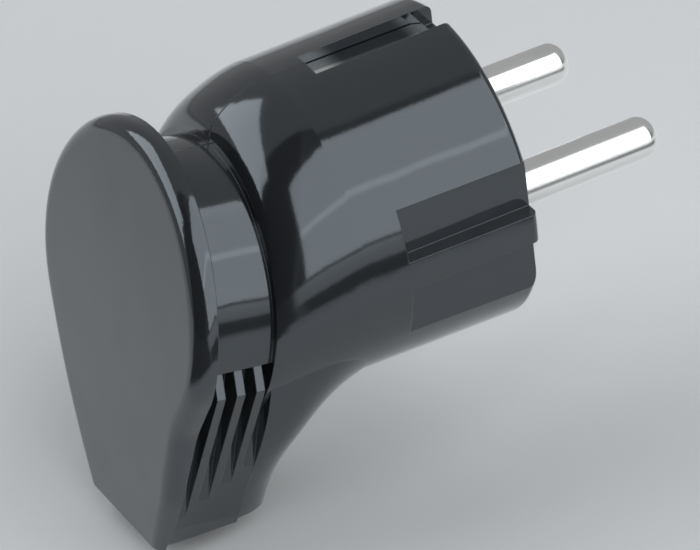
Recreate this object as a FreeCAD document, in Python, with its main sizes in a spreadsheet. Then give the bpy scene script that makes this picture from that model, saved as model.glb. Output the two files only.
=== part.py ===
import FreeCAD, Part
import math
import os
import re
import Sketcher

# Angled mains plug. X runs across the two pins, +Y along them towards the socket, +Z is up.
# The origin is the middle of the contact face, and the cord leaves downwards behind it.

Vector = FreeCAD.Vector

SIZES = {
    # round body that enters the socket
    "body_radius": 18.0,
    "body_draft": 0.3,
    "rim_round": 0.9,
    "shoulder_start": 20.2,
    "shoulder_length": 7.9,
    "shoulder_drop": 4.59,
    "shoulder_first": 16.0,
    "shoulder_last": 80.0,
    "lip_step": 0.7,
    # grip plate and neck, which lean forwards together
    "lean": 10.0,
    "plate_back": 44.72,
    "plate_below_top": 0.716,
    "plate_height": 46.47,
    "plate_radius": 18.76,
    "plate_foot": 8.85,
    "plate_thickness": 2.44,
    "plate_sag": 1.62,
    "plate_rim": 2.0,
    "scoop_low": 8.0,
    "scoop_deep": 17.7,
    "scoop_high": 24.8,
    "scoop_depth": 1.35,
    "scoop_bend": 12.0,
    "neck_inset": 3.5,
    "neck_start": 0.3,
    # flank with its grip ribs
    "flank_foot": 7.4,
    "bend_half": 8.6,
    "bend_rise": 2.6,
    "knee_half": 15.5,
    "knee_rise": 21.9,
    "ledge_half": 14.35,
    "ledge_rise": 24.75,
    "rib_width": 1.0,
    "rib_pitch": 2.3,
    "first_rib": 3.2,
    "floor_half": 13.0,
    "first_fade": 4.5,
    "fade_step": 1.9,
    # cord outlet, which sweeps down from the body
    "sweep_inset": 26.72,
    "sweep_below": 1.72,
    "sweep_radius": 12.3,
    "elbow_top": 30.0,
    "outlet_step": 0.42,
    # earth slots and socket guides
    "slot_width": 4.35,
    "slot_length": 16.2,
    "slot_depth": 2.5,
    "guide_depth": 2.1,
    "guide_length": 15.5,
    "guide_height": 7.4,
    "guide_runout": 9.2,
    "guide_rib_half": 1.7,
    # walls and the seam between the two halves
    "front_wall": 3.0,
    "body_wall": 4.4,
    "cavity_length": 22.0,
    "neck_wall": 3.2,
    "cavity_start": 2.6,
    "cavity_end": 20.0,
    "cavity_foot": 3.6,
    "outlet_floor": 3.5,
    "outlet_wall": 2.3,
    "seam_offset": 0.7,
    "seam_gap": 0.1,
    "fit_gap": 0.05,
    # contact pins
    "pin_radius": 2.4,
    "pin_root_radius": 2.8,
    "pin_length": 19.0,
    "pin_inset": 8.5,
    "pin_tip_round": 2.0,
    "pin_head_radius": 3.1,
    "pin_head_length": 16.5,
    "pin_collar_radius": 3.9,
    "pin_collar_width": 1.2,
    "wire_hole_radius": 1.5,
    "wire_hole_depth": 6.5,
    "terminal_y": 17.4,
    "terminal_radius": 1.3,
    "terminal_head_radius": 2.0,
    "terminal_head_height": 1.8,
    "driver_slot_width": 0.7,
    "driver_slot_depth": 0.8,
    # contact carrier
    "carrier_length": 11.5,
    "carrier_gap": 0.4,
    "stop_width": 1.2,
    "stop_height": 0.9,
    # earth bow, sleeve and their fixings
    "bow_thickness": 0.8,
    "bow_width": 4.1,
    "bow_depth": 1.6,
    "bow_front": 1.3,
    "bow_bend": 1.4,
    "bow_leg": 17.2,
    "sleeve_inset": 8.0,
    "sleeve_radius": 3.3,
    "sleeve_bore": 2.45,
    "sleeve_base": 1.6,
    "sleeve_mouth": 3.1,
    "rivet_radius": 1.2,
    "rivet_head_radius": 2.1,
    "rivet_head_height": 0.9,
    "earth_screw_drop": 3.0,
    "earth_screw_radius": 1.7,
    "earth_screw_length": 4.0,
    "earth_head_radius": 3.1,
    "earth_head_height": 2.0,
    "washer_side": 7.0,
    "washer_height": 1.0,
    "boss_radius": 3.2,
    # cord clamp
    "clamp_inset": 10.72,
    "clamp_above": 11.4,
    "clamp_pitch": 10.8,
    "clamp_seat": 3.9,
    "clamp_thickness": 1.7,
    "clamp_height": 3.8,
    "clamp_post_radius": 1.5,
    "clamp_screw_radius": 0.9,
    "clamp_screw_length": 5.0,
    "clamp_head_radius": 1.6,
    "clamp_head_height": 1.5,
    "clamp_dish": 1.0,
    "cord_rest": 2.3,
    # cable grommet
    "grommet_inset": 7.72,
    "grommet_radius": 4.6,
    "grommet_bore": 3.9,
    "grommet_flange": 4.95,
    "grommet_flange_height": 1.2,
    "grommet_tail": 2.9,
    # housing screws
    "screw_boss_radius": 4.2,
    "screw_radius": 1.45,
    "screw_head_radius": 2.75,
    "screw_head_height": 2.0,
    "screw_seat": 6.4,
    "screw_reach": 4.0,
    "nut_flats": 5.5,
    "nut_height": 2.4,
    "upper_screw_inset": 11.52,
    "upper_screw_below": 10.0,
    "lower_screw_behind": 3.8,
    "lower_screw_above": 5.5,
}

# Sizes that follow from the ones above, kept in the same sheet as formulas.
DERIVED = {
    "pin_half": "body_radius - pin_inset",
    "shoulder_radius": "body_radius - body_draft",
    "cavity_radius": "body_radius - body_wall",
    "slot_floor": "body_radius - slot_depth",
    "sleeve_height": "body_radius - sleeve_inset",
    "upper_screw_y": "plate_back - upper_screw_inset",
    "upper_screw_z": "body_radius - upper_screw_below",
    "lower_screw_y": "shoulder_start + lower_screw_behind",
    "lower_screw_z": "lower_screw_above - body_radius",
    "guide_flat": "body_radius - guide_depth",
    "bow_outer": "body_radius - bow_depth",
    "plate_rise": "plate_height - plate_radius",
    "plate_drop": "plate_height * cos(lean) - body_radius + plate_below_top",
    "outlet_drop": "plate_drop + outlet_step",
    "cavity_floor": "outlet_drop - outlet_floor",
    "sweep_y": "plate_back - sweep_inset",
    "sweep_z": "plate_drop + sweep_below",
    "clamp_y": "plate_back - clamp_inset",
    "clamp_drop": "outlet_drop - clamp_above",
    "grommet_y": "plate_back - grommet_inset",
    "lip_radius": "plate_radius - neck_inset + lip_step",
    "neck_radius": "plate_radius - neck_inset",
    "tangent_turn": "asin(plate_radius / sqrt(plate_foot ^ 2 + plate_rise ^ 2)) - atan(plate_foot / plate_rise)",
    "neck_foot": "plate_foot - neck_inset / cos(tangent_turn)",
    "dome_radius": "(plate_height ^ 2 / 4 + plate_sag ^ 2) / (2 * plate_sag)",
    "scoop_low_half": "plate_foot + scoop_low * tan(tangent_turn)",
    "scoop_deep_half": "plate_foot + scoop_deep * tan(tangent_turn) - scoop_depth",
    "scoop_high_half": "sqrt(plate_radius ^ 2 - (scoop_high - plate_rise) ^ 2)",
    "hollow_radius": "neck_radius - neck_wall",
    "carrier_radius": "cavity_radius - carrier_gap",
    "leg_back": "bow_leg + bow_thickness",
    "bow_inner": "bow_outer - bow_thickness",
    "pin_head_end": "front_wall + pin_head_length",
    "carrier_end": "front_wall + carrier_length",
}

REACH = 60.0
HALF_REACH = REACH / 2
AXES = {"X": Vector(1, 0, 0), "Y": Vector(0, 1, 0), "Z": Vector(0, 0, 1)}
ALONG = {"Z": ("Z", "0"), "Y": ("X", "-90"), "X": ("Y", "90"), "-Y": ("X", "90"), "-X": ("Y", "-90")}
FUNCTIONS = ("asin", "atan", "sqrt", "cos", "sin", "tan")
TOUCH = 0.01
SHOULDER_STEPS = 4
ELBOW_POINTS = 8
RIBS = 3

# Sections of the cord outlet's bend: angle, step of the inner side, the size that each follows,
# what its half depth and its half width have over that size, and how square it is.
ELBOW_SECTIONS = (
    (-10.0, 0.7, "body_radius", -1.7, -1.6, 2.0),
    (4.0, 0.05, "body_radius", -1.0, -0.9, 2.0),
    (20.0, 0.0, "body_radius", -4.4, -2.4, 2.2),
    (40.0, 0.0, "flank_foot", 2.8, 6.5, 2.6),
    (60.0, -0.1, "flank_foot", 0.8, 3.6, 3.2),
    (75.0, -0.3, "flank_foot", 0.0, 1.5, 3.8),
    (95.0, -0.4, "flank_foot", -0.2, -1.5, 4.0),
)

doc = FreeCAD.newDocument("angled_plug")
sheet = doc.addObject("Spreadsheet::Sheet", "sizes")


def fill_sheet():
    """Writes the driving sizes and the formulas that follow from them."""
    for row, (alias, number) in enumerate(SIZES.items(), start=1):
        sheet.set(f"A{row}", alias)
        sheet.set(f"B{row}", str(number))
        sheet.setAlias(f"B{row}", alias)
    for row, (alias, text) in enumerate(DERIVED.items(), start=len(SIZES) + 1):
        sheet.set(f"A{row}", alias)
        sheet.set(f"B{row}", "=" + text)
        sheet.setAlias(f"B{row}", alias)
    doc.recompute()


def formula(text):
    """Turns the aliases in a formula into references to the sheet."""
    def reference(found):
        word = found.group(0)
        return word if word in FUNCTIONS else "sizes." + word
    return re.sub(r"[a-z][a-z_]+", reference, text)


def size(alias):
    return float(sheet.get(alias))


def place(thing, at=("0", "0", "0"), along="Z"):
    """Binds the place of an object, and the way that its own Z axis points."""
    axis, angle = ALONG[along] if along in ALONG else ("X", along)
    x, y, z = (formula(text) for text in at)
    turn = AXES[axis]
    vector = f"create(<<vector>>; {turn.x}; {turn.y}; {turn.z})"
    base = f"create(<<vector>>; {x}; {y}; {z})"
    rotation = f"create(<<rotation>>; {vector}; {formula(angle)})"
    thing.setExpression("Placement", f"create(<<placement>>; {base}; {rotation})")
    return thing


def cylinder(name, radius, length, at, along="Z"):
    thing = doc.addObject("Part::Cylinder", name)
    thing.setExpression("Radius", formula(radius))
    thing.setExpression("Height", formula(length))
    return place(thing, at, along)


def box(name, sides, at):
    """A box whose corner of least x, y and z stands at the place given."""
    thing = doc.addObject("Part::Box", name)
    for side, text in zip(("Length", "Width", "Height"), sides):
        thing.setExpression(side, formula(text))
    return place(thing, at)


def join(name, first, *others):
    """Fuses things one after the other, and gives the last result the name."""
    for index, other in enumerate(others, start=1):
        thing = doc.addObject("Part::Fuse", name if index == len(others) else f"{name}_step_{index}")
        thing.Base = first
        thing.Tool = other
        thing.Refine = False
        first = thing
    return first


def common(name, first, second):
    thing = doc.addObject("Part::Common", name)
    thing.Base = first
    thing.Tool = second
    thing.Refine = False
    return thing


def cut(name, base, *tools):
    """Takes the tools away from the base, one after the other."""
    for index, tool in enumerate(tools, start=1):
        thing = doc.addObject("Part::Cut", name if index == len(tools) else f"{name}_step_{index}")
        thing.Base = base
        thing.Tool = tool
        thing.Refine = False
        base = thing
    return base


def closed_outline(sketch, corners):
    """Draws a closed outline whose corners are bound to formulas."""
    first = sketch.GeometryCount
    count = len(corners)
    for index in range(count):
        here = Vector(math.cos(index), math.sin(index), 0)
        after = Vector(math.cos(index + 1), math.sin(index + 1), 0)
        sketch.addGeometry(Part.LineSegment(here, after), False)
    for index, (across, up) in enumerate(corners):
        line = first + index
        following = first + (index + 1) % count
        sketch.addConstraint(Sketcher.Constraint("Coincident", line, 2, following, 1))
        for kind, text in (("DistanceX", across), ("DistanceY", up)):
            row = sketch.addConstraint(Sketcher.Constraint(kind, -1, 1, line, 1, 1.0))
            sketch.setExpression(f"Constraints[{row}]", formula(text))


def teardrop_sketch(name, radius, foot):
    """Draws the round-topped outline of the plate and neck in the leaning plane."""
    sketch = doc.addObject("Sketcher::SketchObject", name)
    round_size, rise, half = size(radius), size("plate_rise"), size(foot)
    turn = math.asin(round_size / math.hypot(half, rise)) - math.atan2(half, rise)
    side = Vector(round_size * math.cos(turn), rise - round_size * math.sin(turn), 0)
    circle = Part.Circle(Vector(0, rise, 0), Vector(0, 0, 1), round_size)
    sketch.addGeometry(Part.ArcOfCircle(circle, -turn, math.pi + turn), False)
    sketch.addGeometry(Part.LineSegment(side, Vector(half, 0, 0)), False)
    sketch.addGeometry(Part.LineSegment(Vector(half, 0, 0), Vector(-half, 0, 0)), False)
    sketch.addGeometry(Part.LineSegment(Vector(-half, 0, 0), Vector(-side.x, side.y, 0)), False)
    for parts in (("Tangent", 0, 1, 1, 1), ("Coincident", 1, 2, 2, 1), ("Coincident", 2, 2, 3, 1),
                  ("Tangent", 3, 2, 0, 2), ("PointOnObject", 0, 3, -2), ("PointOnObject", 1, 2, -1),
                  ("Symmetric", 1, 2, 3, 1, -2)):
        sketch.addConstraint(Sketcher.Constraint(*parts))
    for parts, text in ((("Radius", 0, round_size), radius),
                        (("DistanceY", -1, 1, 0, 3, rise), "plate_rise"),
                        (("DistanceX", -1, 1, 1, 2, half), foot)):
        row = sketch.addConstraint(Sketcher.Constraint(*parts))
        sketch.setExpression(f"Constraints[{row}]", formula(text))
    return lean_back(sketch)


def lean_back(sketch):
    """Sets a sketch in the chord plane of the plate, with its X across and its Y up the plate."""
    return place(sketch, ("0", "-plate_back", "-plate_drop"), "90 - lean")


def leaning_block(name, sketch, start, end):
    """Extrudes a sketch of the leaning plane between two depths, towards the socket."""
    thing = doc.addObject("Part::Extrusion", name)
    thing.Base = sketch
    thing.DirMode = "Normal"
    thing.Solid = True
    thing.setExpression("LengthFwd", formula(f"-({start})"))
    thing.setExpression("LengthRev", formula(end))
    return thing


def outline_block(name, corners, start, end):
    sketch = doc.addObject("Sketcher::SketchObject", name + "_outline")
    closed_outline(sketch, corners)
    return leaning_block(name, lean_back(sketch), start, end)


def mirrored(corners):
    return [(f"-({across})", up) for across, up in reversed(corners)]


def turned_body(name, profile, at, along):
    """A turned piece: a profile of radius and height, revolved about its own Z axis."""
    body = doc.addObject("PartDesign::Body", name)
    planes = {feature.Role: feature for feature in body.Origin.OriginFeatures}
    sketch = body.newObject("Sketcher::SketchObject", name + "_profile")
    sketch.AttachmentSupport = [(planes["XZ_Plane"], "")]
    sketch.MapMode = "FlatFace"
    closed_outline(sketch, profile)
    revolution = body.newObject("PartDesign::Revolution", name + "_turned")
    revolution.Profile = (sketch, [""])
    revolution.ReferenceAxis = (sketch, ["V_Axis"])
    revolution.Angle = 360.0
    return place(body, at, along)


def screw(name, shank_radius, shank_length, head_radius, head_height, at, along):
    """A screw that points along the way given, with the seat of its head at the place given."""
    blank = turned_body(name + "_blank", [
        ("0", f"-({head_height})"),
        (head_radius, f"-({head_height})"),
        (head_radius, "0"),
        (shank_radius, "0"),
        (shank_radius, shank_length),
        ("0", shank_length),
    ], at, along)
    driver = doc.addObject("Part::Box", name + "_driver_slot")
    driver.setExpression("Length", formula(f"2 * ({head_radius}) + 2"))
    driver.setExpression("Width", formula("driver_slot_width"))
    driver.setExpression("Height", formula("driver_slot_depth + 1"))
    holder = doc.addObject("Part::Compound", name + "_driver")
    driver.setExpression("Placement", "create(<<placement>>; create(<<vector>>; "
                         + formula(f"-({head_radius}) - 1; -driver_slot_width / 2; -({head_height}) - 1")
                         + "); create(<<rotation>>; create(<<vector>>; 0; 0; 1); 0))")
    holder.Links = [driver]
    place(holder, at, along)
    return cut(name, blank, holder)


def round_edges(name, base, radius, chosen):
    """Rounds the chosen edges of a finished shape."""
    doc.recompute()
    thing = doc.addObject("Part::Fillet", name)
    thing.Base = base
    rows = [(index, radius, radius) for index, edge in enumerate(base.Shape.Edges, start=1) if chosen(edge)]
    thing.Edges = rows
    return thing


def make_body():
    """The round body and its rounded shoulder, which ends in the lip around the neck."""
    sharp = turned_body("barrel_sharp", [
        ("0", "0"),
        ("body_radius", "0"),
        ("shoulder_radius", "shoulder_start"),
        ("0", "shoulder_start"),
    ], ("0", "0", "0"), "-Y")
    barrel = round_edges("barrel", sharp, size("rim_round"), lambda edge: edge.BoundBox.YMin > -TOUCH)
    rings = []
    for step in range(SHOULDER_STEPS + 1):
        share = step / SHOULDER_STEPS
        turn = f"(shoulder_first + (shoulder_last - shoulder_first) * {share})"
        tilt = f"(lean * {share})"
        gone = f"((sin({turn}) - sin(shoulder_first)) / (sin(shoulder_last) - sin(shoulder_first)))"
        fallen = f"((cos(shoulder_first) - cos({turn})) / (cos(shoulder_first) - cos(shoulder_last)))"
        radius = f"(shoulder_radius - (shoulder_radius - lip_radius) * {fallen})"
        top_y = f"(shoulder_start + shoulder_length * {gone})"
        top_z = f"(shoulder_radius - shoulder_drop * {fallen})"
        ring = doc.addObject("Part::Circle", f"shoulder_ring_{step}")
        ring.setExpression("Radius", formula(radius))
        place(ring, ("0", f"-{top_y} - {radius} * sin{tilt}", f"{top_z} - {radius} * cos{tilt}"),
              f"90 - {tilt}")
        rings.append(ring)
    shoulder = doc.addObject("Part::Loft", "shoulder")
    shoulder.Sections = rings
    shoulder.Solid = True
    shoulder.Ruled = False
    return barrel, shoulder


def elbow_section(angle, inner, radial, across, power):
    """One closed section of the outlet's sweep, in a plane through the sweep's axis."""
    lean = math.radians(angle)
    outward = Vector(0, -math.sin(lean), math.cos(lean))
    middle = Vector(0, -size("sweep_y"), -size("sweep_z")) + outward * (inner + radial)
    side = []
    for index in range(ELBOW_POINTS + 1):
        turn = math.pi * index / ELBOW_POINTS
        out = across * math.sin(turn) ** (2 / power) if 0 < index < ELBOW_POINTS else 0.0
        fall = math.cos(turn)
        rise = -math.copysign(abs(fall) ** (2 / power), fall) if abs(fall) > 0.001 else 0.0
        side.append((out, rise))
    edges = []
    for sign, run in ((1, side), (-1, side[::-1])):
        points = [middle + Vector(sign * out, 0, 0) + outward * (radial * rise) for out, rise in run]
        curve = Part.BSplineCurve()
        curve.interpolate(Points=points, InitialTangent=Vector(sign, 0, 0), FinalTangent=Vector(-sign, 0, 0))
        edges.append(curve.toShape())
    return Part.Wire(edges)


def make_elbow():
    """The outlet, which bends from the round body down to the cord's way out."""
    inner = size("sweep_radius")
    sections = [elbow_section(angle, inner + step, size(followed) + deeper, size(followed) + wider, power)
                for angle, step, followed, deeper, wider, power in ELBOW_SECTIONS]
    bend = doc.addObject("Part::Feature", "elbow_bend")
    bend.Shape = Part.makeLoft(sections, True, False)
    wide = f"{REACH}"
    front = outline_block("elbow_zone", [(f"-{wide}", f"-{wide}"), (wide, f"-{wide}"), (wide, "elbow_top"),
                                         (f"-{wide}", "elbow_top")], rib_edge(RIBS, "-"), wide)
    return common("elbow", bend, front)


def make_grip():
    """The neck and the flat flank behind the plate, with grooves that leave the grip ribs standing."""
    whole_neck = leaning_block("whole_neck", teardrop_sketch("neck_outline", "neck_radius", "neck_foot"),
                               "neck_start", "first_rib + rib_pitch * 3.5")
    half = [
        ("flank_foot", "0"),
        ("bend_half", "bend_rise"),
        ("knee_half", "knee_rise"),
        ("ledge_half", "ledge_rise"),
    ]
    flank = outline_block("flank", half + mirrored(half), "neck_start", rib_edge(RIBS, "-"))
    rooms = []
    grooves = []
    for side in ("near", "far"):
        room = flank_cut("floor_half", "bend_rise")
        rooms.append(outline_block(f"rib_room_{side}", room if side == "near" else mirrored(room),
                                   "neck_start - 1", rib_edge(RIBS, "-")))
        for index in range(RIBS + 1):
            rise = f"(first_fade + fade_step * {index})"
            share = f"({rise} - bend_rise) / (knee_rise - bend_rise)"
            corners = flank_cut(f"bend_half + (knee_half - bend_half) * {share}", rise)
            start = rib_edge(index - 1, "+") if index else "neck_start"
            grooves.append(outline_block(f"groove_{side}_{index}", corners if side == "near" else mirrored(corners),
                                         start, rib_edge(index, "-")))
    neck = cut("neck", whole_neck, *rooms)
    return cut("grip", join("grip_blank", neck, flank), *grooves)


def flank_cut(foot_half, foot_rise):
    """The outline of a cut into the near flank, which runs out on the surface at its foot."""
    return [
        (foot_half, foot_rise),
        (f"{HALF_REACH}", foot_rise),
        (f"{HALF_REACH}", "ledge_rise"),
        ("floor_half", "ledge_rise"),
    ]


def rib_edge(index, sign):
    """The depth of the front edge, with plus, or of the rear edge, with minus, of a grip rib."""
    return f"first_rib + rib_pitch * {index} {sign} rib_width / 2"


def make_plate():
    """The domed grip plate with its rounded rim and the finger scoop in its near edge."""
    blank = leaning_block("plate_blank", teardrop_sketch("plate_outline", "plate_radius", "plate_foot"),
                          "-3 * plate_sag", "2 * plate_thickness")
    middle = "plate_height / 2"
    depth = "dome_radius - plate_sag"
    at = ("-dome_radius",
          f"-plate_back + {middle} * sin(lean) + ({depth}) * cos(lean)",
          f"-plate_drop + {middle} * cos(lean) - ({depth}) * sin(lean)")
    outer = cylinder("dome_outer", "dome_radius", "2 * dome_radius", at, "X")
    inner = cylinder("dome_inner", "dome_radius - plate_thickness", "2 * dome_radius", at, "X")
    scoop = outline_block("finger_scoop", [
        ("scoop_low_half", "scoop_low"),
        (f"{HALF_REACH}", "scoop_low"),
        (f"{HALF_REACH}", "scoop_high"),
        ("scoop_high_half", "scoop_high"),
        ("scoop_deep_half", "scoop_deep"),
    ], "-3 * plate_sag - 1", "2 * plate_thickness + 1")
    shell = cut("plate_sharp", common("plate_dome", blank, outer), inner, scoop)
    doc.recompute()
    front_radius = size("dome_radius")
    corners = [size(name) for name in ("scoop_low", "scoop_deep", "scoop_high")]

    def on_scoop(edge):
        rises = [rise_on_plate(vertex.Point) for vertex in edge.Vertexes]
        across = [vertex.Point.x for vertex in edge.Vertexes]
        return min(across) > size("plate_foot") and any(
            all(abs(rise - corner) < TOUCH for rise in rises) for corner in corners)

    def on_front(edge):
        centre = Vector(*[float(value) for value in outer.Placement.Base])
        points = [edge.valueAt(edge.FirstParameter), edge.valueAt(edge.LastParameter)]
        reaches = [math.hypot(point.y - centre.y, point.z - centre.z) for point in points]
        return all(abs(reach - front_radius) < TOUCH for reach in reaches) and not on_foot(edge)

    def on_foot(edge):
        return all(rise_on_plate(vertex.Point) < TOUCH for vertex in edge.Vertexes)

    eased = round_edges("plate_eased", shell, size("scoop_bend"), on_scoop)
    rimmed = round_edges("plate_rimmed", eased, size("plate_rim"), on_front)
    under = outline_block("plate_under", [(f"-{REACH}", "-1"), (f"{REACH}", "-1"),
                                          (f"{REACH}", "plate_height / 2"), (f"-{REACH}", "plate_height / 2")],
                          "plate_thickness - plate_sag", f"{HALF_REACH}")
    return cut("plate", rimmed, under)


def rise_on_plate(point):
    """How far up the plate's chord a point lies."""
    lean = math.radians(size("lean"))
    return (point.y + size("plate_back")) * math.sin(lean) + (point.z + size("plate_drop")) * math.cos(lean)


def make_cavity():
    """The hollow inside the two halves, clear of the outlet's sweep."""
    front = cylinder("cavity_front", "cavity_radius", "cavity_length - front_wall",
                     ("0", "-front_wall", "0"), "-Y")
    rear = leaning_block("cavity_neck", teardrop_sketch("cavity_outline", "hollow_radius", "cavity_foot"),
                         "cavity_start", "cavity_end")
    room = box("cavity_room", (f"{REACH}", f"{REACH}", f"{REACH}"),
               (f"-{HALF_REACH}", f"-{REACH}", "-cavity_floor"))
    guard = cylinder("sweep_guard", "sweep_radius + outlet_wall", f"{REACH}",
                     (f"-{HALF_REACH}", "-sweep_y", "-sweep_z"), "X")
    return cut("cavity", common("cavity_raw", join("cavity_both", front, rear), room), guard)


def mirrored_pair(name, make):
    """Makes a thing on the near side and on the far side."""
    return [make(f"{name}_near", "1"), make(f"{name}_far", "-1")]


def make_shell():
    """Everything outside the plate as one shell, before it is parted along the seam."""
    solid = join("casting", *make_body(), make_grip(), make_elbow())
    below = box("below_outlet", (f"{REACH}", f"{REACH}", f"{REACH}"),
                (f"-{HALF_REACH}", f"-{REACH}", f"-outlet_drop - {REACH}"))
    outer = cut("outer_form", solid, below)
    slots = [
        box("slot_upper", ("slot_width", "slot_length + 1", "body_radius"),
            ("-slot_width / 2", "-slot_length", "slot_floor")),
        box("slot_lower", ("slot_width", "slot_length + 1", "body_radius"),
            ("-slot_width / 2", "-slot_length", "-slot_floor - body_radius")),
        box("leg_pocket", ("slot_width", "leg_back - slot_length + fit_gap * 2",
                           "2 * (bow_outer + fit_gap)"),
            ("-slot_width / 2", "-leg_back - fit_gap", "-bow_outer - fit_gap")),
    ]
    guides = []
    for side, corner in (("near", "guide_flat"), ("far", "-guide_flat - body_radius")):
        for level, low, high in (("upper", "guide_rib_half", "guide_height"),
                                 ("lower", "-guide_runout", "-guide_rib_half")):
            guides.append(box(f"guide_{side}_{level}",
                              ("body_radius", "guide_length + 1", f"{high} - ({low})"),
                              (corner, "-guide_length", low)))
    holes = mirrored_pair("pin_hole", lambda name, side: cylinder(
        name, "pin_root_radius + fit_gap", "front_wall + 2", (f"{side} * pin_half", "-front_wall - 1", "0"), "Y"))
    mouth = cylinder("sleeve_mouth_hole", "sleeve_mouth", "front_wall + 2",
                     ("0", "-front_wall - 1", "sleeve_height"), "Y")
    bore = cylinder("grommet_seat", "grommet_radius + fit_gap", "outlet_drop - cavity_floor + 2",
                    ("0", "-grommet_y", "-outlet_drop - 1"))
    flange = cylinder("flange_seat", "grommet_flange + fit_gap", "grommet_flange_height + 2",
                      ("0", "-grommet_y", "-cavity_floor"))
    hollow = cut("hollow", outer, make_cavity(), *slots, *guides, *holes, mouth, bore, flange)
    ring = cylinder("stop_ring", "cavity_radius + stop_height", "stop_width", ("0", "-carrier_end", "0"), "-Y")
    way = cylinder("stop_way", "cavity_radius - stop_height", "stop_width + 2",
                   ("0", "-carrier_end + 1", "0"), "-Y")
    heads = mirrored_pair("head_way", lambda name, side: cylinder(
        name, "pin_head_radius + 4 * fit_gap", "stop_width + 2",
        (f"{side} * pin_half", "-carrier_end + 1", "0"), "-Y"))
    sleeve = cylinder("sleeve_way", "sleeve_radius + 4 * fit_gap", "stop_width + 2",
                      ("0", "-carrier_end + 1", "sleeve_height"), "-Y")
    return outer, join("shell", hollow, cut("carrier_stop", ring, way, sleeve, *heads))


def screw_places():
    return (("upper", "-upper_screw_y", "upper_screw_z"), ("lower", "-lower_screw_y", "lower_screw_z"))


def clamp_places():
    return (("front", "-clamp_y + clamp_pitch / 2"), ("rear", "-clamp_y - clamp_pitch / 2"))


def make_housing():
    """Parts the shell along the seam. The near half carries the plate, the nuts and the clamp."""
    outer, shell = make_shell()
    plate = make_plate()
    bosses = [cylinder(f"screw_boss_{name}", "screw_boss_radius", f"{REACH}", (f"-{HALF_REACH}", y, z), "X")
              for name, y, z in screw_places()]
    posts = [cylinder(f"clamp_post_{name}", "clamp_post_radius", f"clamp_seat + {HALF_REACH}",
                      ("-clamp_seat", y, "-clamp_drop"), "X") for name, y in clamp_places()]
    near_room = box("near_room", (f"{REACH}", f"{2 * REACH}", f"{2 * REACH}"),
                    ("-seam_offset", f"-{REACH}", f"-{REACH}"))
    far_room = box("far_room", (f"{REACH}", f"{2 * REACH}", f"{2 * REACH}"),
                   (f"-seam_offset - seam_gap - {REACH}", f"-{REACH}", f"-{REACH}"))
    boss_room = box("far_boss_room", (f"{REACH}", f"{2 * REACH}", f"{2 * REACH}"),
                    (f"-seam_offset - {REACH}", f"-{REACH}", f"-{REACH}"))
    filled = common("filled_bosses", join("all_bosses", *bosses), outer)
    near_holes = []
    far_holes = []
    for name, y, z in screw_places():
        near_holes.append(cylinder(f"nut_side_hole_{name}", "screw_radius + fit_gap",
                                   "screw_reach + seam_offset + 2", ("-seam_offset - 1", y, z), "X"))
        near_holes.append(nut_blank(f"nut_pocket_{name}", "nut_flats + 2 * fit_gap", "nut_height + 1",
                                    ("-seam_offset - 1", y, z)))
        far_holes.append(cylinder(f"head_side_hole_{name}", "screw_radius + 2 * fit_gap", "screw_seat + 1",
                                  ("-screw_seat - 1", y, z), "X"))
        far_holes.append(cylinder(f"head_recess_{name}", "screw_head_radius + 3 * fit_gap", f"{HALF_REACH}",
                                  ("-screw_seat", y, z), "-X"))
    for name, y in clamp_places():
        near_holes.append(cylinder(f"clamp_hole_{name}", "clamp_screw_radius + fit_gap",
                                   "clamp_screw_length + 1", ("-clamp_seat - 1", y, "-clamp_drop"), "X"))
        far_holes.append(cylinder(f"clamp_way_{name}", "clamp_post_radius + 6 * fit_gap",
                                  "clamp_seat + clamp_thickness + clamp_head_height + 0.5",
                                  ("0", y, "-clamp_drop"), "-X"))
    far_holes.append(box("clamp_bar_way",
                         ("clamp_seat + clamp_thickness + 0.5", "clamp_pitch + 2 * clamp_post_radius + 1",
                          "clamp_height + 0.6"),
                         ("-clamp_seat - clamp_thickness - 0.5",
                          "-clamp_y - clamp_pitch / 2 - clamp_post_radius - 0.5",
                          "-clamp_drop - clamp_height / 2 - 0.3")))
    far_solid = common("outer_less_posts", outer, join("post_room", near_room, *posts))
    near_raw = common("near_raw", shell, near_room)
    rest = box("cord_rest_block", (f"{HALF_REACH}", "clamp_pitch - 2 * clamp_post_radius + 0.4", "clamp_height"),
               ("cord_rest", "-clamp_y - clamp_pitch / 2 + clamp_post_radius - 0.2",
                "-clamp_drop - clamp_height / 2"))
    near_posts = common("near_posts", join("all_posts", *posts, rest), far_solid)
    near_boss = common("near_bosses", filled, near_room)
    near = cut("housing_near", join("near_joined", near_raw, near_boss, near_posts, plate), *near_holes)
    far_raw = common("far_raw", shell, far_room)
    far_boss = common("far_bosses", filled, boss_room)
    far = cut("housing_far", join("far_joined", far_raw, far_boss), plate, *far_holes)
    return near, far


def nut_blank(name, flats, height, at):
    """A six-sided block that points across the pins."""
    thing = doc.addObject("Part::Prism", name)
    thing.Polygon = 6
    thing.setExpression("Circumradius", formula(f"({flats}) / sqrt(3)"))
    thing.setExpression("Height", formula(height))
    return place(thing, at, "X")


def make_fasteners():
    """The screws and nuts that hold the two halves together."""
    for name, y, z in screw_places():
        screw(f"housing_screw_{name}", "screw_radius", "screw_seat + screw_reach", "screw_head_radius",
              "screw_head_height", ("-screw_seat", y, z), "X")
        blank = nut_blank(f"nut_blank_{name}", "nut_flats", "nut_height", ("-seam_offset", y, z))
        hole = cylinder(f"nut_thread_{name}", "screw_radius", "nut_height + 2", ("-seam_offset - 1", y, z), "X")
        cut(f"housing_nut_{name}", blank, hole)


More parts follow.
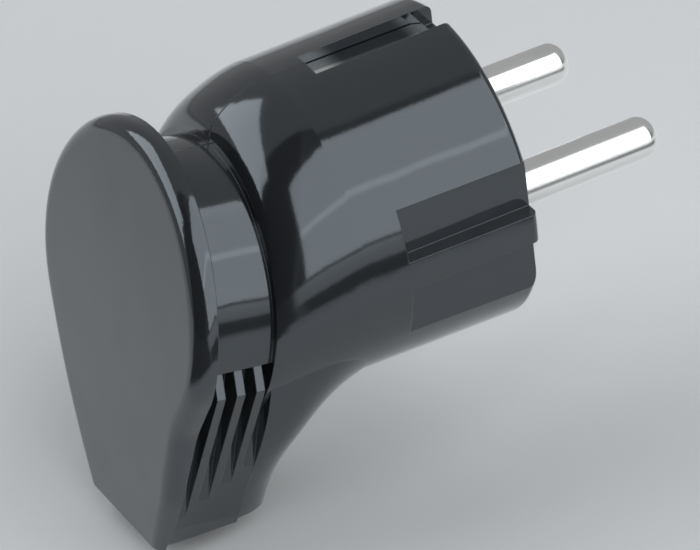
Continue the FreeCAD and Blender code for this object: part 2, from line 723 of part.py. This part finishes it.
def make_pins():
    """The two contact pins with their wire holes, and the screws that clamp the wires."""
    for name, side in (("near", "1"), ("far", "-1")):
        middle = f"{side} * pin_half"
        blank = turned_body(f"pin_{name}_blank", [
            ("0", "-pin_head_end"),
            ("pin_head_radius", "-pin_head_end"),
            ("pin_head_radius", "-front_wall - pin_collar_width"),
            ("pin_collar_radius", "-front_wall - pin_collar_width"),
            ("pin_collar_radius", "-front_wall"),
            ("pin_root_radius", "-front_wall"),
            ("pin_root_radius", "0"),
            ("pin_radius", "0"),
            ("pin_radius", "pin_length"),
            ("0", "pin_length"),
        ], (middle, "0", "0"), "Y")
        blunt = cut(f"pin_{name}_drilled", blank,
                    cylinder(f"wire_hole_{name}", "wire_hole_radius", "wire_hole_depth + 1",
                             (middle, "-pin_head_end - 1", "0"), "Y"),
                    cylinder(f"terminal_hole_{name}", "terminal_radius", "pin_head_radius + 1",
                             (middle, "-terminal_y", "0")))
        length = size("pin_length")
        rounded = round_edges(f"pin_{name}", blunt, size("pin_tip_round"),
                              lambda edge: edge.BoundBox.YMin > length - 0.01)
        rounded.Label = f"pin_{name}"
        screw(f"terminal_screw_{name}", "terminal_radius", "pin_head_radius - wire_hole_radius",
              "terminal_head_radius", "terminal_head_height", (middle, "-terminal_y", "pin_head_radius"), "180")


def make_carrier():
    """The insulating block that holds the pins and the earth parts."""
    disc = cylinder("carrier_disc", "carrier_radius", "carrier_length", ("0", "-front_wall", "0"), "-Y")
    boss = cylinder("carrier_boss", "boss_radius", "bow_leg - front_wall",
                    ("0", "-front_wall", "-earth_screw_drop"), "-Y")
    heads = mirrored_pair("carrier_bore", lambda name, side: cylinder(
        name, "pin_head_radius + fit_gap", "carrier_length + 2",
        (f"{side} * pin_half", "-front_wall + 1", "0"), "-Y"))
    sleeve = cylinder("carrier_sleeve_bore", "sleeve_radius + fit_gap", "carrier_length + 2",
                      ("0", "-front_wall + 1", "sleeve_height"), "-Y")
    screw_hole = cylinder("carrier_screw_hole", "earth_screw_radius + fit_gap", "earth_screw_length + 1",
                          ("0", "-bow_leg - 1", "-earth_screw_drop"), "Y")
    collars = mirrored_pair("carrier_collar", lambda name, side: cylinder(
        name, "pin_collar_radius + fit_gap", "pin_collar_width + fit_gap + 1",
        (f"{side} * pin_half", "-front_wall + 1", "0"), "-Y"))
    cut("contact_carrier", join("carrier_joined", disc, boss), sleeve, screw_hole, *heads, *collars)


def make_earth():
    """The earth bow with its two strips, the sleeve for an earth pin, and what fixes them."""
    body = doc.addObject("PartDesign::Body", "earth_bow_body")
    planes = {feature.Role: feature for feature in body.Origin.OriginFeatures}
    sketch = body.newObject("Sketcher::SketchObject", "earth_bow_profile")
    sketch.AttachmentSupport = [(planes["YZ_Plane"], "")]
    sketch.MapMode = "FlatFace"
    half = [
        ("-leg_back", "bow_outer"),
        ("-bow_front - bow_bend", "bow_outer"),
        ("-bow_front", "bow_inner + bow_thickness / 2"),
        ("-bow_front", "bow_inner"),
        ("-bow_leg", "bow_inner"),
    ]
    closed_outline(sketch, half + [(y, f"-({z})") for y, z in reversed(half)])
    pad = body.newObject("PartDesign::Pad", "earth_bow_strip")
    pad.Profile = (sketch, [""])
    pad.setExpression("Length", formula("bow_width"))
    pad.Midplane = True
    cut("earth_bow", body,
        cylinder("bow_screw_hole", "earth_screw_radius", "4 * bow_thickness",
                 ("0", "-bow_leg + bow_thickness", "-earth_screw_drop"), "-Y"),
        cylinder("bow_rivet_hole", "rivet_radius", "4 * bow_thickness",
                 ("0", "-bow_leg + bow_thickness", "sleeve_height"), "-Y"))
    turned_sleeve = turned_body("sleeve_body", [
        ("rivet_radius", "bow_leg"),
        ("sleeve_radius", "bow_leg"),
        ("sleeve_radius", "front_wall"),
        ("sleeve_bore", "front_wall"),
        ("sleeve_bore", "bow_leg - sleeve_base"),
        ("rivet_radius", "bow_leg - sleeve_base"),
    ], ("0", "0", "sleeve_height"), "-Y")
    turned_sleeve.Label = "earth_sleeve"
    rivet = turned_body("rivet_body", [
        ("0", "bow_leg - sleeve_base"),
        ("rivet_radius", "bow_leg - sleeve_base"),
        ("rivet_radius", "leg_back"),
        ("rivet_head_radius", "leg_back"),
        ("rivet_head_radius * 0.7", "leg_back + rivet_head_height"),
        ("0", "leg_back + rivet_head_height"),
    ], ("0", "0", "sleeve_height"), "-Y")
    rivet.Label = "earth_sleeve_rivet"
    plate = box("washer_blank", ("washer_side", "washer_height", "washer_side"),
                ("-washer_side / 2", "-leg_back - washer_height", "-earth_screw_drop - washer_side / 2"))
    hole = cylinder("washer_hole", "earth_screw_radius + fit_gap", "washer_height + 2",
                    ("0", "-leg_back + 1", "-earth_screw_drop"), "-Y")
    cut("earth_clamp_washer", plate, hole)
    screw("earth_screw", "earth_screw_radius", "earth_screw_length + bow_thickness", "earth_head_radius",
          "earth_head_height", ("0", "-leg_back - washer_height", "-earth_screw_drop"), "Y")


def make_clamp():
    """The bar that holds the cord, and its two screws."""
    bar = box("clamp_bar", ("clamp_thickness", "clamp_pitch + 2 * clamp_post_radius", "clamp_height"),
              ("-clamp_seat - clamp_thickness", "-clamp_y - clamp_pitch / 2 - clamp_post_radius",
               "-clamp_drop - clamp_height / 2"))
    dish = cylinder("clamp_dish_cut", "grommet_bore", f"{REACH}",
                    ("-clamp_seat + grommet_bore - clamp_dish", "-clamp_y", f"-{REACH}"))
    holes = [cylinder(f"clamp_bar_hole_{name}", "clamp_screw_radius + fit_gap", "clamp_thickness + 2",
                      ("-clamp_seat + 1", y, "-clamp_drop"), "-X") for name, y in clamp_places()]
    cut("cord_clamp", bar, dish, *holes)
    for name, y in clamp_places():
        screw(f"cord_clamp_screw_{name}", "clamp_screw_radius", "clamp_screw_length", "clamp_head_radius",
              "clamp_head_height", ("-clamp_seat - clamp_thickness", y, "-clamp_drop"), "X")


def make_grommet():
    """The soft sleeve that lines the cord's way out."""
    grommet = turned_body("grommet_body", [
        ("grommet_bore", "-outlet_drop - grommet_tail"),
        ("grommet_radius - 0.6", "-outlet_drop - grommet_tail"),
        ("grommet_radius", "-outlet_drop - grommet_tail + 0.6"),
        ("grommet_radius", "-cavity_floor"),
        ("grommet_flange", "-cavity_floor"),
        ("grommet_flange", "-cavity_floor + grommet_flange_height"),
        ("grommet_bore", "-cavity_floor + grommet_flange_height"),
    ], ("0", "-grommet_y", "0"), "Z")
    grommet.Label = "cable_grommet"


NODES = (
    "housing_near", "housing_far", "contact_carrier", "pin_near", "pin_far",
    "terminal_screw_near", "terminal_screw_far", "earth_bow", "earth_sleeve", "earth_sleeve_rivet",
    "earth_clamp_washer", "earth_screw", "cord_clamp", "cord_clamp_screw_front", "cord_clamp_screw_rear",
    "cable_grommet", "housing_screw_upper", "housing_screw_lower", "housing_nut_upper", "housing_nut_lower",
)


def check_and_export():
    """Writes one file for each sub-part, once every object has been found sound."""
    doc.recompute()
    for thing in doc.Objects:
        if "Invalid" in thing.State or "Error" in thing.State:
            raise RuntimeError(f"{thing.Label} failed: {thing.State}")
    chosen = {thing.Label: thing for thing in doc.Objects}
    for name in NODES:
        shape = chosen[name].Shape
        if shape.isNull() or not shape.isValid() or not shape.Solids:
            raise RuntimeError(f"{name} has no sound solid")
        print(f"{name}: {len(shape.Solids)} solid, {shape.Volume:.2f} mm3")
    os.makedirs("parts", exist_ok=True)
    for name in NODES:
        chosen[name].Shape.exportStep(f"parts/{name}.step")


fill_sheet()
make_housing()
make_fasteners()
make_pins()
make_carrier()
make_earth()
make_clamp()
make_grommet()
check_and_export()
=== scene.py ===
import math

import bpy
from mathutils import Matrix, Vector


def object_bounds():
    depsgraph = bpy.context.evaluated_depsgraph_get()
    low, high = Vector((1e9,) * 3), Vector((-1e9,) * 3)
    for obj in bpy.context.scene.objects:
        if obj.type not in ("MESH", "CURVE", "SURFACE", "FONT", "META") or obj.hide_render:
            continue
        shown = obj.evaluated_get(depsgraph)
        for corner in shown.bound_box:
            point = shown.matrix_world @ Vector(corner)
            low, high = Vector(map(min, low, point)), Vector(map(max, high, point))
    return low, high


# Angled mains plug, dressed for a studio picture. X runs across the pins, +Y along them, +Z is up.

MM = 0.001

# camera
CAMERA_BACK = (0.759, -0.343, 0.553)
CAMERA_RIGHT = (0.474, 0.873, -0.109)
CAMERA_DISTANCE = 0.6
CAMERA_ACROSS = -0.0115
CAMERA_ALONG_UP = -0.01305
FOCAL_PIXELS = 5575.15
PICTURE_WIDTH = 700
SENSOR_WIDTH = 36.0
CLIP_START = 0.01
CLIP_END = 50.0

# The floor's tone as the camera sees it, and the paler one that throws light back on the plug.
FLOOR_SIZE = 6.0
FLOOR_COLOUR = (0.78, 0.78, 0.78, 1.0)
FLOOR_SEEN = (0.56, 0.56, 0.56, 1.0)
FLOOR_DARK = (0.04, 0.04, 0.04, 1.0)
FLOOR_ROUGHNESS = 0.9
WORLD_COLOUR = (0.95, 0.96, 0.98, 1.0)
OPEN_STRENGTH = 0.46

# Zones of the room: azimuths in degrees, the strength of the air there, and how far from the
# plug the floor's dark part begins and ends.
ZONES = {
    "Dark Side": {"start": -97.0, "end": -22.0, "fade": 8.0, "air": 0.025,
                  "floor_begins": 0.1, "floor_ends": 9.0},
    "Right Side": {"start": -22.0, "end": 72.0, "fade": 16.0, "air": 0.12,
                   "floor_begins": 0.09, "floor_ends": 0.16},
}
ZONE_RIM = 0.02

# Softboxes: azimuth and elevation are in degrees, as seen from the plug.
SOFTBOXES = {
    "right_box": {"azimuth": 20.0, "elevation": 36.0, "distance": 0.8, "width": 1.15, "height": 1.15,
                  "power": 9.8, "colour": (0.93, 0.97, 1.0)},
    "right_tube": {"azimuth": 20.0, "elevation": 35.0, "distance": 0.78, "width": 1.1, "height": 0.06,
                   "power": 0.22, "colour": (0.93, 0.97, 1.0)},
    "left_box": {"azimuth": -128.0, "elevation": 42.0, "distance": 0.9, "width": 0.95, "height": 0.6,
                 "power": 4.75, "colour": (0.9, 0.96, 1.0)},
}

# colours
PLASTIC_BLACK = (0.011, 0.012, 0.0135, 1.0)
PLASTIC_WORN = (0.02, 0.022, 0.025, 1.0)
PLASTIC_TINT = (0.86, 0.94, 1.0, 1.0)
CARRIER_GREY = (0.05, 0.05, 0.055, 1.0)
CLAMP_GREY = (0.16, 0.16, 0.17, 1.0)
NICKEL = (0.86, 0.86, 0.85, 1.0)
NICKEL_DULL = (0.62, 0.62, 0.6, 1.0)
STRIP_NICKEL = (0.66, 0.67, 0.67, 1.0)
# painted shade for the earth strip's middle, the dark it mirrors in its slot
STRIP_PAINTED_SHADE = (0.09, 0.095, 0.1, 1.0)
ZINC = (0.6, 0.62, 0.65, 1.0)
ZINC_DULL = (0.42, 0.43, 0.45, 1.0)
RUBBER_BLACK = (0.018, 0.018, 0.02, 1.0)
RUBBER_DUSTY = (0.045, 0.045, 0.048, 1.0)

# Where painted shade darkens the earth strip's colour, along Y.
STRIP_SHADE_REAR = -13.0 * MM
STRIP_SHADE_FRONT = -3.0 * MM
STRIP_SHADE_FADE = 3.0 * MM

# grain of the moulded plastics
PIT_SIZE = 2400.0
PIT_DEPTH = 0.03
PIT_DETAIL = 3.0
WAVE_SIZE = 110.0
WAVE_DETAIL = 1.0
SCUFF_SIZE = 160.0
SCUFF_DETAIL = 6.0
SCUFF_ROUGHNESS = 0.7
SCUFF_STARTS = 0.58
SCUFF_FULL = 0.85
FLOW_SIZE = 45.0
FLOW_DETAIL = 2.0

# grain of the metals
LINE_SIZE = 900.0
LINE_DETAIL = 5.0
TARNISH_SIZE = 120.0
TARNISH_DETAIL = 4.0
LINES_ALONG_Y = (1.0, 0.02, 1.0)
LINES_ALONG_Z = (1.0, 1.0, 0.05)

# Sharp edges are drawn with this much roundness.
EDGE_RADIUS = 0.15 * MM
EDGE_SAMPLES = 6

PLASTICS = {
    "shell": {"name": "moulded_black", "colour": PLASTIC_BLACK, "worn_colour": PLASTIC_WORN,
              "roughness": (0.07, 0.12), "pit_size": 2400.0, "relief": 0.0001, "specular": 0.8},
    "carrier": {"name": "carrier_plastic", "colour": CARRIER_GREY, "worn_colour": CLAMP_GREY,
                "roughness": (0.5, 0.65), "pit_size": 1200.0, "relief": 0.0002, "specular": 0.5},
    "clamp": {"name": "clamp_plastic", "colour": CLAMP_GREY, "worn_colour": CARRIER_GREY,
              "roughness": (0.45, 0.6), "pit_size": 1200.0, "relief": 0.0002, "specular": 0.5},
    "rubber": {"name": "grommet_rubber", "colour": RUBBER_BLACK, "worn_colour": RUBBER_DUSTY,
               "roughness": (0.6, 0.8), "pit_size": 1800.0, "relief": 0.0002, "specular": 0.5},
}

METALS = {
    "pin": {"name": "nickel_pin", "colour": NICKEL, "dull_colour": NICKEL_DULL,
            "roughness": (0.12, 0.28), "stretch": LINES_ALONG_Y, "line_size": 1400.0, "relief": 0.0000015},
    "strip": {"name": "nickel_strip", "colour": STRIP_NICKEL, "dull_colour": NICKEL_DULL,
              "roughness": (0.08, 0.16), "stretch": LINES_ALONG_Y, "line_size": 1200.0, "relief": 0.000002},
    "sleeve": {"name": "nickel_sleeve", "colour": NICKEL, "dull_colour": NICKEL_DULL,
               "roughness": (0.2, 0.35), "stretch": LINES_ALONG_Y, "line_size": 1000.0, "relief": 0.0000015},
    "zinc": {"name": "zinc_screw", "colour": ZINC, "dull_colour": ZINC_DULL,
             "roughness": (0.3, 0.5), "stretch": LINES_ALONG_Z, "line_size": 800.0, "relief": 0.000002},
}

NODE_FINISH = {
    "housing_near": "shell", "housing_far": "shell", "contact_carrier": "carrier",
    "pin_near": "pin", "pin_far": "pin", "terminal_screw_near": "zinc", "terminal_screw_far": "zinc",
    "earth_bow": "strip", "earth_sleeve": "sleeve", "earth_sleeve_rivet": "sleeve",
    "earth_clamp_washer": "zinc", "earth_screw": "zinc", "cord_clamp": "clamp",
    "cord_clamp_screw_front": "zinc", "cord_clamp_screw_rear": "zinc", "cable_grommet": "rubber",
    "housing_screw_upper": "zinc", "housing_screw_lower": "zinc",
    "housing_nut_upper": "zinc", "housing_nut_lower": "zinc",
}


def add_node(tree, kind, **settings):
    node = tree.nodes.new(kind)
    for name, value in settings.items():
        setattr(node, name, value)
    return node


def link(tree, source, target):
    tree.links.new(source, target)


def combine(tree, operation, first, second):
    """What a sum, product or other operation makes of two values of a node tree."""
    node = add_node(tree, "ShaderNodeMath", operation=operation)
    link(tree, first, node.inputs[0])
    link(tree, second, node.inputs[1])
    return node.outputs[0]


def smooth_step(tree, value, none_at, full_at):
    """A share that runs from 0 to 1 between two values."""
    node = add_node(tree, "ShaderNodeMapRange", interpolation_type="SMOOTHSTEP")
    node.inputs["From Min"].default_value = none_at
    node.inputs["From Max"].default_value = full_at
    link(tree, value, node.inputs["Value"])
    return node.outputs["Result"]


def noise(tree, position, detail, size):
    """Noise whose size is either a number or another node's output."""
    node = add_node(tree, "ShaderNodeTexNoise")
    node.inputs["Detail"].default_value = detail
    link(tree, position, node.inputs["Vector"])
    if isinstance(size, float):
        node.inputs["Scale"].default_value = size
    else:
        link(tree, size, node.inputs["Scale"])
    return node


def new_group(name, vectors, numbers, results):
    """A node group with its sockets, and the nodes that stand for them inside."""
    group = bpy.data.node_groups.new(name, "ShaderNodeTree")
    for label in vectors:
        group.interface.new_socket(name=label, in_out="INPUT", socket_type="NodeSocketVector")
    for label, start in numbers.items():
        socket = group.interface.new_socket(name=label, in_out="INPUT", socket_type="NodeSocketFloat")
        socket.default_value = start
    for label in results:
        group.interface.new_socket(name=label, in_out="OUTPUT", socket_type="NodeSocketFloat")
    inputs = add_node(group, "NodeGroupInput").outputs
    outputs = add_node(group, "NodeGroupOutput").inputs
    return group, inputs, outputs


def moulding_group():
    """Moulded plastic: fine pits on a surface with slow waves, flow marks and faint scuffs."""
    sizes = {"Pit Size": PIT_SIZE, "Pit Depth": PIT_DEPTH, "Wave Size": WAVE_SIZE, "Scuff Size": SCUFF_SIZE}
    group, inputs, outputs = new_group("moulded_surface", ("Position",), sizes, ("Relief", "Scuffs", "Flow"))
    position = inputs["Position"]
    pits = noise(group, position, PIT_DETAIL, inputs["Pit Size"])
    depth = combine(group, "MULTIPLY", pits.outputs["Fac"], inputs["Pit Depth"])
    waves = noise(group, position, WAVE_DETAIL, inputs["Wave Size"])
    relief = combine(group, "ADD", depth, waves.outputs["Fac"])
    scuffs = noise(group, position, SCUFF_DETAIL, inputs["Scuff Size"])
    scuffs.inputs["Roughness"].default_value = SCUFF_ROUGHNESS
    worn = add_node(group, "ShaderNodeValToRGB")
    worn.color_ramp.elements[0].position = SCUFF_STARTS
    worn.color_ramp.elements[1].position = SCUFF_FULL
    link(group, scuffs.outputs["Fac"], worn.inputs["Fac"])
    flow = noise(group, position, FLOW_DETAIL, FLOW_SIZE)
    link(group, relief, outputs["Relief"])
    link(group, worn.outputs["Color"], outputs["Scuffs"])
    link(group, flow.outputs["Fac"], outputs["Flow"])
    return group


def drawn_metal_group():
    """Metal turned or drawn along one way, with fine lines and soft tarnish."""
    vectors = ("Position", "Line Stretch")
    group, inputs, outputs = new_group("drawn_metal", vectors, {"Line Size": LINE_SIZE}, ("Lines", "Tarnish"))
    stretch = add_node(group, "ShaderNodeVectorMath", operation="MULTIPLY")
    link(group, inputs["Position"], stretch.inputs[0])
    link(group, inputs["Line Stretch"], stretch.inputs[1])
    lines = noise(group, stretch.outputs[0], LINE_DETAIL, inputs["Line Size"])
    tarnish = noise(group, inputs["Position"], TARNISH_DETAIL, TARNISH_SIZE)
    link(group, lines.outputs["Fac"], outputs["Lines"])
    link(group, tarnish.outputs["Fac"], outputs["Tarnish"])
    return group


def new_material(name):
    material = bpy.data.materials.new(name)
    material.use_nodes = True
    tree = material.node_tree
    shader = tree.nodes["Principled BSDF"]
    position = add_node(tree, "ShaderNodeTexCoord")
    return material, tree, shader, position.outputs["Object"]


def blend_colours(tree, factor, low, high, shader):
    mix = add_node(tree, "ShaderNodeMix", data_type="RGBA")
    mix.inputs["A"].default_value = low
    mix.inputs["B"].default_value = high
    link(tree, factor, mix.inputs["Factor"])
    link(tree, mix.outputs["Result"], shader.inputs["Base Color"])


def spread_roughness(tree, factor, low, high, shader):
    spread = add_node(tree, "ShaderNodeMapRange")
    spread.inputs["To Min"].default_value = low
    spread.inputs["To Max"].default_value = high
    link(tree, factor, spread.inputs["Value"])
    link(tree, spread.outputs["Result"], shader.inputs["Roughness"])


def bump_normal(tree, height, distance, shader):
    """Gives the surface its relief, and its sharp edges a hair of roundness that catches light."""
    edge = add_node(tree, "ShaderNodeBevel", samples=EDGE_SAMPLES)
    edge.inputs["Radius"].default_value = EDGE_RADIUS
    bump = add_node(tree, "ShaderNodeBump")
    bump.inputs["Strength"].default_value = 1.0
    bump.inputs["Distance"].default_value = distance
    link(tree, edge.outputs["Normal"], bump.inputs["Normal"])
    link(tree, height, bump.inputs["Height"])
    link(tree, bump.outputs["Normal"], shader.inputs["Normal"])


def plastic(group, name, colour, worn_colour, roughness, pit_size, relief, specular):
    """A moulded plastic with its own colour, gloss and grain."""
    material, tree, shader, position = new_material(name)
    surface = add_node(tree, "ShaderNodeGroup")
    surface.node_tree = group
    surface.inputs["Pit Size"].default_value = pit_size
    link(tree, position, surface.inputs["Position"])
    blend_colours(tree, surface.outputs["Scuffs"], colour, worn_colour, shader)
    spread_roughness(tree, surface.outputs["Flow"], *roughness, shader)
    bump_normal(tree, surface.outputs["Relief"], relief, shader)
    shader.inputs["Specular IOR Level"].default_value = specular
    shader.inputs["Specular Tint"].default_value = PLASTIC_TINT
    return material


def metal(group, name, colour, dull_colour, roughness, stretch, line_size, relief):
    """A plated metal with lines that run the way it was drawn or turned."""
    material, tree, shader, position = new_material(name)
    surface = add_node(tree, "ShaderNodeGroup")
    surface.node_tree = group
    surface.inputs["Line Stretch"].default_value = stretch
    surface.inputs["Line Size"].default_value = line_size
    link(tree, position, surface.inputs["Position"])
    blend_colours(tree, surface.outputs["Tarnish"], colour, dull_colour, shader)
    spread_roughness(tree, surface.outputs["Lines"], *roughness, shader)
    bump_normal(tree, surface.outputs["Lines"], relief, shader)
    shader.inputs["Metallic"].default_value = 1.0
    return material


def paint_strip_shade(material):
    """Paints shade into the strip's colour: dark between two bright ends, standing in for the dark it mirrors
    deep in its slot.
    """
    tree = material.node_tree
    shader = tree.nodes["Principled BSDF"]
    plain = shader.inputs["Base Color"].links[0].from_socket
    position = add_node(tree, "ShaderNodeTexCoord")
    axes = add_node(tree, "ShaderNodeSeparateXYZ")
    link(tree, position.outputs["Object"], axes.inputs["Vector"])
    half_fade = STRIP_SHADE_FADE / 2
    along = axes.outputs["Y"]
    past_rear = smooth_step(tree, along, STRIP_SHADE_REAR - half_fade, STRIP_SHADE_REAR + half_fade)
    before_front = smooth_step(tree, along, STRIP_SHADE_FRONT + half_fade, STRIP_SHADE_FRONT - half_fade)
    mix = add_node(tree, "ShaderNodeMix", data_type="RGBA")
    mix.inputs["B"].default_value = STRIP_PAINTED_SHADE
    link(tree, plain, mix.inputs["A"])
    link(tree, combine(tree, "MULTIPLY", past_rear, before_front), mix.inputs["Factor"])
    link(tree, mix.outputs["Result"], shader.inputs["Base Color"])


def make_materials():
    moulding = moulding_group()
    drawn = drawn_metal_group()
    materials = {finish: plastic(moulding, **look) for finish, look in PLASTICS.items()}
    for finish, look in METALS.items():
        materials[finish] = metal(drawn, **look)
    # the strip's colour gets painted shade along its middle
    paint_strip_shade(materials["strip"])
    return materials


def finish_nodes(nodes, materials):
    for name, finish in NODE_FINISH.items():
        slots = nodes[name].material_slots
        for slot in slots:
            slot.material = materials[finish]
        if not slots:
            nodes[name].data.materials.append(materials[finish])


def zones_group():
    """How far a direction from the plug lies in each zone of the room."""
    group, inputs, outputs = new_group("room_zones", ("Direction",), {}, ZONES)
    axes = add_node(group, "ShaderNodeSeparateXYZ")
    link(group, inputs["Direction"], axes.inputs["Vector"])
    azimuth = combine(group, "ARCTAN2", axes.outputs["Y"], axes.outputs["X"])
    for name, zone in ZONES.items():
        off = add_node(group, "ShaderNodeMath", operation="SUBTRACT")
        off.inputs[1].default_value = math.radians((zone["start"] + zone["end"]) / 2)
        link(group, azimuth, off.inputs[0])
        aside = add_node(group, "ShaderNodeMath", operation="ABSOLUTE")
        link(group, off.outputs[0], aside.inputs[0])
        width = zone["end"] - zone["start"]
        outer = math.radians((width + zone["fade"]) / 2)
        inner = math.radians((width - zone["fade"]) / 2)
        link(group, smooth_step(group, aside.outputs[0], outer, inner), outputs[name])
    return group


def make_floor(level, zones):
    """Pale paper. In reflections it is dark where the room's unlit zones begin."""
    bpy.ops.mesh.primitive_plane_add(size=FLOOR_SIZE, location=(0.0, 0.0, level))
    floor = bpy.context.object
    floor.name = "studio_floor"
    bpy.ops.object.transform_apply(location=True, rotation=True, scale=True)
    material, tree, shader, position = new_material("floor_paper")
    around = add_node(tree, "ShaderNodeGroup")
    around.node_tree = zones
    link(tree, position, around.inputs["Direction"])
    distance = add_node(tree, "ShaderNodeVectorMath", operation="LENGTH")
    link(tree, position, distance.inputs[0])
    far = distance.outputs["Value"]
    seen = add_node(tree, "ShaderNodeLightPath")
    half_rim = ZONE_RIM / 2
    paper = None
    for name, zone in ZONES.items():
        beyond = smooth_step(tree, far, zone["floor_begins"] - half_rim, zone["floor_begins"] + half_rim)
        within = smooth_step(tree, far, zone["floor_ends"] + half_rim, zone["floor_ends"] - half_rim)
        share = combine(tree, "MULTIPLY", combine(tree, "MULTIPLY", beyond, within), around.outputs[name])
        mix = add_node(tree, "ShaderNodeMix", data_type="RGBA")
        mix.inputs["A"].default_value = FLOOR_COLOUR
        mix.inputs["B"].default_value = FLOOR_DARK
        mirrored = combine(tree, "MULTIPLY", share, seen.outputs["Is Glossy Ray"])
        link(tree, mirrored, mix.inputs["Factor"])
        if paper:
            link(tree, paper, mix.inputs["A"])
        paper = mix.outputs["Result"]
    last = add_node(tree, "ShaderNodeMix", data_type="RGBA")
    last.inputs["B"].default_value = FLOOR_SEEN
    link(tree, paper, last.inputs["A"])
    link(tree, seen.outputs["Is Camera Ray"], last.inputs["Factor"])
    link(tree, last.outputs["Result"], shader.inputs["Base Color"])
    shader.inputs["Roughness"].default_value = FLOOR_ROUGHNESS
    floor.data.materials.append(material)


def make_world(zones):
    """Even air above and behind, with the dim zones of the room in it."""
    world = bpy.data.worlds.new("studio_air")
    world.use_nodes = True
    tree = world.node_tree
    background = tree.nodes["Background"]
    background.inputs["Color"].default_value = WORLD_COLOUR
    direction = add_node(tree, "ShaderNodeTexCoord")
    around = add_node(tree, "ShaderNodeGroup")
    around.node_tree = zones
    link(tree, direction.outputs["Generated"], around.inputs["Direction"])
    strength = None
    for name, zone in ZONES.items():
        mix = add_node(tree, "ShaderNodeMix", data_type="FLOAT")
        mix.inputs["A"].default_value = OPEN_STRENGTH
        mix.inputs["B"].default_value = zone["air"]
        link(tree, around.outputs[name], mix.inputs["Factor"])
        if strength:
            link(tree, strength, mix.inputs["A"])
        strength = mix.outputs["Result"]
    link(tree, strength, background.inputs["Strength"])
    bpy.context.scene.world = world


def make_lights():
    for name, box in SOFTBOXES.items():
        azimuth = math.radians(box["azimuth"])
        elevation = math.radians(box["elevation"])
        level = math.cos(elevation)
        towards = Vector((math.cos(azimuth) * level, math.sin(azimuth) * level, math.sin(elevation)))
        lamp = bpy.data.lights.new(name, "AREA")
        lamp.shape = "RECTANGLE"
        lamp.size = box["width"]
        lamp.size_y = box["height"]
        lamp.energy = box["power"]
        lamp.color = box["colour"]
        holder = bpy.data.objects.new(name, lamp)
        bpy.context.scene.collection.objects.link(holder)
        holder.location = towards * box["distance"]
        holder.rotation_mode = "QUATERNION"
        holder.rotation_quaternion = towards.to_track_quat("Z", "Y")


def make_camera():
    back = Vector(CAMERA_BACK).normalized()
    right = (Vector(CAMERA_RIGHT) - back * Vector(CAMERA_RIGHT).dot(back)).normalized()
    up = back.cross(right)
    camera = bpy.data.cameras.new("studio_camera")
    camera.sensor_width = SENSOR_WIDTH
    camera.lens = FOCAL_PIXELS * SENSOR_WIDTH / PICTURE_WIDTH
    camera.clip_start = CLIP_START
    camera.clip_end = CLIP_END
    holder = bpy.data.objects.new("studio_camera", camera)
    bpy.context.scene.collection.objects.link(holder)
    turn = Matrix((right, up, back)).transposed().to_4x4()
    place = right * CAMERA_ACROSS + up * CAMERA_ALONG_UP + back * CAMERA_DISTANCE
    holder.matrix_world = Matrix.Translation(place) @ turn
    bpy.context.scene.camera = holder


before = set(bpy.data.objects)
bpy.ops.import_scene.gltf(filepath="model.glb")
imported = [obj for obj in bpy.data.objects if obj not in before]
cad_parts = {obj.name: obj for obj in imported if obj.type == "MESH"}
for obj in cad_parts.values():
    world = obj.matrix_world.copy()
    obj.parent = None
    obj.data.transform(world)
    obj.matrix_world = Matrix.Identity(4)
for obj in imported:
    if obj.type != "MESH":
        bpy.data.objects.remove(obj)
cad_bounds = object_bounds()
bpy.context.scene.view_settings.view_transform = "Standard"
finish_nodes(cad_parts, make_materials())
zones = zones_group()
make_floor(cad_bounds[0].z, zones)
make_world(zones)
make_lights()
make_camera()
